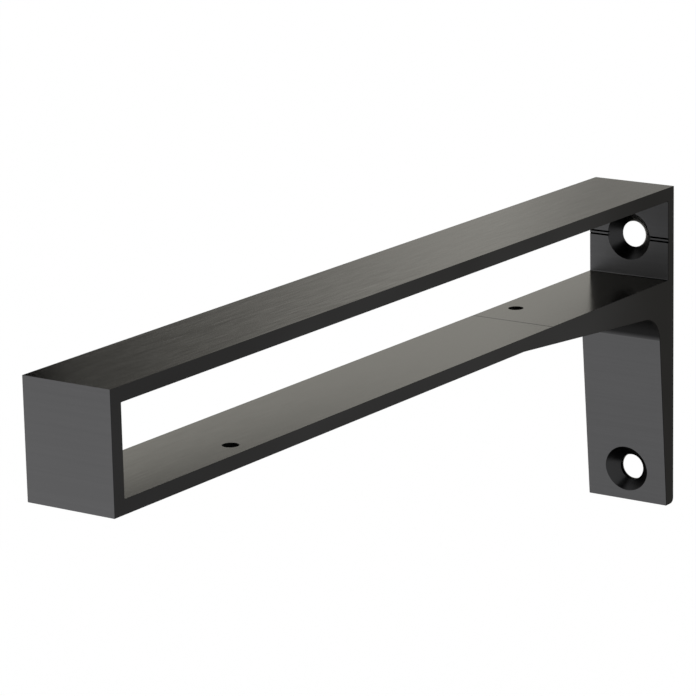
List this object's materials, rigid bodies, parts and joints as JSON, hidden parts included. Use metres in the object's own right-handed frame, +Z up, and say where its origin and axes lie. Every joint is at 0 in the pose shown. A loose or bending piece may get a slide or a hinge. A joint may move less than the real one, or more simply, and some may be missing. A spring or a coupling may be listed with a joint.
{
  "type": "shelf bracket",
  "caption": "Flat shelf bracket of aluminium profile: a long slot loop holds the board, and a tapered foot with countersunk holes screws to the wall.",
  "frame": {"origin": "on the wall face at the middle of the sawn width, midway between the two wall screws", "axes": "+Z up, +Y out of the wall face into the wall so that the bracket reaches towards -Y, +X across the sawn width"},
  "size_m": [0.02, 0.198, 0.0722],
  "materials": {
    "anodised_aluminium": "brushed, black anodised, with sawn side faces"
  },
  "bodies": {
    "root": {"bracket": "anodised_aluminium"}
  },
  "joints": []
}
